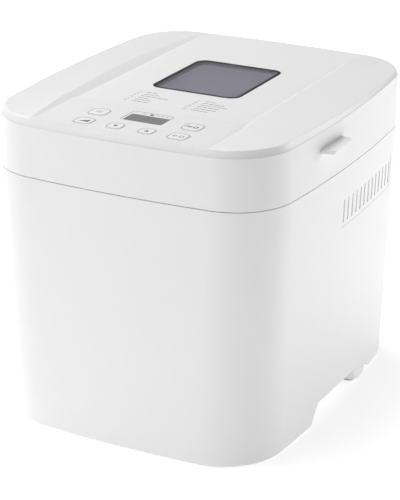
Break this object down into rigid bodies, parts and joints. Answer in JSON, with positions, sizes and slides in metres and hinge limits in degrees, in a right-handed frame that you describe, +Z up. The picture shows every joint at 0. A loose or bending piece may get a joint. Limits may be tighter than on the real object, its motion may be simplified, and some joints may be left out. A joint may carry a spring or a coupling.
{
  "type": "bread machine",
  "caption": "Upright countertop bread machine with a domed hinged lid, viewing window, key panel and lift-out kneading pan in a heated oven.",
  "frame": {"origin": "on the table under the middle of the machine", "axes": "+Z up, -Y to the front with the keys, +X to the right-hand side with the finger tab"},
  "size_m": [0.289, 0.3144, 0.276],
  "materials": {
    "white_gloss": "white moulded plastic with a gloss finish",
    "inner_plastic": "pale heat-resistant plastic",
    "black_rubber": "black rubber",
    "silicone": "grey silicone",
    "zinc_steel": "zinc-plated steel",
    "bright_steel": "ground steel",
    "oven_sheet": "aluminised sheet",
    "cast_alloy": "die-cast alloy",
    "dark_coating": "dark non-stick coating",
    "element_sheath": "oxidised steel sheath",
    "ceramic": "unglazed ceramic",
    "bronze": "sintered bronze",
    "laminations": "stacked electrical steel",
    "black_plastic": "black moulded plastic",
    "circuit_board": "green circuit board",
    "tinted_glass": "grey tinted glass",
    "clear_glass": "clear glass",
    "display": "grey liquid-crystal display"
  },
  "bodies": {
    "body": {"body_shell": "white_gloss", "base_plate": "inner_plastic", "rubber_feet": "black_rubber", "base_screws": "zinc_steel", "mains_gland": "black_plastic", "top_deck": "inner_plastic", "oven_chamber": "oven_sheet", "chamber_standoffs": "zinc_steel", "heating_element": "element_sheath", "element_bushes": "ceramic", "temperature_sensor": "zinc_steel", "pan_seat": "cast_alloy", "drive_frame": "zinc_steel", "frame_posts": "zinc_steel", "drive_bearing": "bronze", "drive_belt": "black_rubber", "motor_stator": "laminations", "motor_end_caps": "cast_alloy", "motor_mounts": "black_rubber", "motor_capacitor": "black_plastic", "board_carrier": "inner_plastic", "power_board": "circuit_board", "mains_transformer": "laminations", "hinge_pins": "zinc_steel"},
    "drive": {"drive_shaft": "bright_steel", "drive_pulley": "black_plastic", "lower_coupling": "cast_alloy", "drive_circlip": "zinc_steel"},
    "motor": {"motor_shaft": "bright_steel", "motor_rotor": "laminations", "motor_pulley": "cast_alloy", "cooling_fan": "black_plastic"},
    "pan": {"bread_pan": "dark_coating", "pan_base_ring": "cast_alloy", "pan_bush": "bronze", "handle_pivots": "bright_steel"},
    "handle": {"pan_handle": "bright_steel"},
    "paddle": {"kneading_paddle": "dark_coating", "pan_shaft": "bright_steel", "upper_coupling": "cast_alloy", "pan_circlip": "zinc_steel"},
    "lid": {"lid_wall": "white_gloss", "lid_top": "white_gloss", "lid_liner": "inner_plastic", "lid_seal": "silicone", "window_pane": "tinted_glass", "window_gasket": "silicone", "inner_window": "clear_glass", "control_fascia": "white_gloss", "display_lens": "display", "display_module": "black_plastic", "control_board": "circuit_board", "lid_screws": "zinc_steel"},
    "menu_button": {"menu_key": "white_gloss"},
    "loaf_button": {"loaf_key": "white_gloss"},
    "minus_button": {"minus_key": "white_gloss"},
    "plus_button": {"plus_key": "white_gloss"},
    "crust_button": {"crust_key": "white_gloss"},
    "start_button": {"start_key": "white_gloss"}
  },
  "joints": [
    {"name": "lid_hinge", "type": "hinge", "parent": "body", "child": "lid", "pos_m": [-0.1395, 0, 0.223], "axis": [0, -1, 0], "range_deg": [0, 90]},
    {"name": "drive_spin", "type": "hinge", "parent": "body", "child": "drive", "pos_m": [0, 0.023, 0.04], "axis": [0, 0, 1], "continuous": true},
    {"name": "motor_spin", "type": "hinge", "parent": "body", "child": "motor", "pos_m": [-0.045, -0.112, 0.04], "axis": [0, 0, 1], "continuous": true},
    {"name": "pan_twist", "type": "hinge", "parent": "body", "child": "pan", "pos_m": [0, 0.023, 0.084], "axis": [0, 0, 1], "range_deg": [0, 18]},
    {"name": "handle_swing", "type": "hinge", "parent": "pan", "child": "handle", "pos_m": [0, 0.023, 0.197], "axis": [0, -1, 0], "range_deg": [0, 178]},
    {"name": "paddle_spin", "type": "hinge", "parent": "pan", "child": "paddle", "pos_m": [0, 0.023, 0.1], "axis": [0, 0, 1], "continuous": true},
    {"name": "menu_press", "type": "slide", "parent": "lid", "child": "menu_button", "axis": [0, 0, -1], "range_m": [0, 0.0008], "stiffness_N_per_m": 400, "springref_m": -0.001},
    {"name": "loaf_press", "type": "slide", "parent": "lid", "child": "loaf_button", "axis": [0, 0, -1], "range_m": [0, 0.0008], "stiffness_N_per_m": 400, "springref_m": -0.001},
    {"name": "minus_press", "type": "slide", "parent": "lid", "child": "minus_button", "axis": [0, 0, -1], "range_m": [0, 0.0008], "stiffness_N_per_m": 400, "springref_m": -0.001},
    {"name": "plus_press", "type": "slide", "parent": "lid", "child": "plus_button", "axis": [0, 0, -1], "range_m": [0, 0.0008], "stiffness_N_per_m": 400, "springref_m": -0.001},
    {"name": "crust_press", "type": "slide", "parent": "lid", "child": "crust_button", "axis": [0, 0, -1], "range_m": [0, 0.0008], "stiffness_N_per_m": 400, "springref_m": -0.001},
    {"name": "start_press", "type": "slide", "parent": "lid", "child": "start_button", "axis": [0, 0, -1], "range_m": [0, 0.0008], "stiffness_N_per_m": 400, "springref_m": -0.001}
  ],
  "couplings": [
    {"joint": "motor_spin", "follows": "drive_spin", "ratio": 6.6552},
    {"joint": "paddle_spin", "follows": "drive_spin", "ratio": 1}
  ]
}
